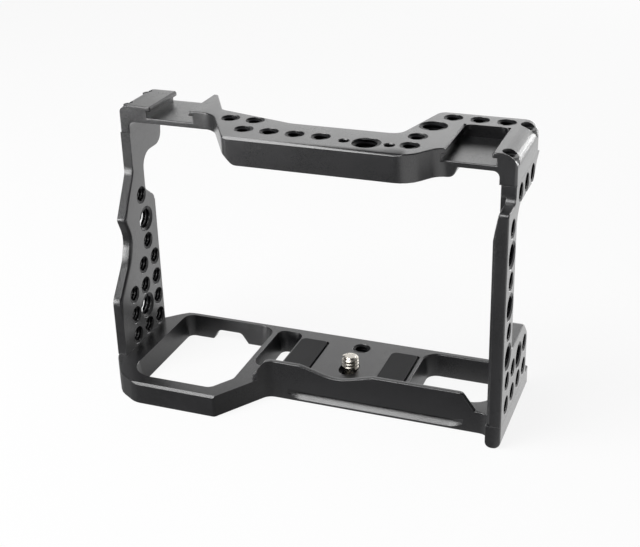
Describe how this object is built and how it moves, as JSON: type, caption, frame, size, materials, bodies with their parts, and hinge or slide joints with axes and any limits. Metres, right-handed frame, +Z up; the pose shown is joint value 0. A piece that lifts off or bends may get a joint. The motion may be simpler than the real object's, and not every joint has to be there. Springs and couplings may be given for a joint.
{
  "type": "camera cage",
  "caption": "Open metal cage for a mirrorless camera: top plate with two cold shoes, two drilled arms, and a base with a captive camera screw.",
  "frame": {"origin": "middle of the width and depth at the underside of the base", "axes": "+X from the grip side to the port side, +Y to the rear where the operator stands, +Z up"},
  "size_m": [0.1532, 0.0604, 0.1053],
  "materials": {
    "black_anodised": "satin black anodised, bead blasted",
    "pad_rubber": "matt black rubber",
    "bright_nickel": "bright nickel plated steel",
    "joint_screw_black": "black oxide steel"
  },
  "bodies": {
    "cage": {"top_plate": "black_anodised", "grip_arm": "black_anodised", "port_arm": "black_anodised", "base_plate": "black_anodised", "grip_pad": "pad_rubber", "port_pad": "pad_rubber", "top_screw_grip_front": "joint_screw_black", "top_screw_grip_rear": "joint_screw_black", "top_screw_port_front": "joint_screw_black", "top_screw_port_rear": "joint_screw_black", "base_screw_grip_front": "joint_screw_black", "base_screw_grip_rear": "joint_screw_black", "base_screw_port_front": "joint_screw_black", "base_screw_port_middle": "joint_screw_black", "base_screw_port_rear": "joint_screw_black"},
    "screw_washer": {"screw_washer": "bright_nickel"},
    "camera_screw": {"camera_screw": "bright_nickel"}
  },
  "joints": [
    {"name": "screw_slide", "type": "slide", "parent": "cage", "child": "screw_washer", "axis": [0, 1, 0], "range_m": [-0.003, 0]},
    {"name": "screw_turn", "type": "hinge", "parent": "screw_washer", "child": "camera_screw", "pos_m": [0.013, 0.00665, 0.005], "axis": [0, 0, 1], "continuous": true}
  ]
}
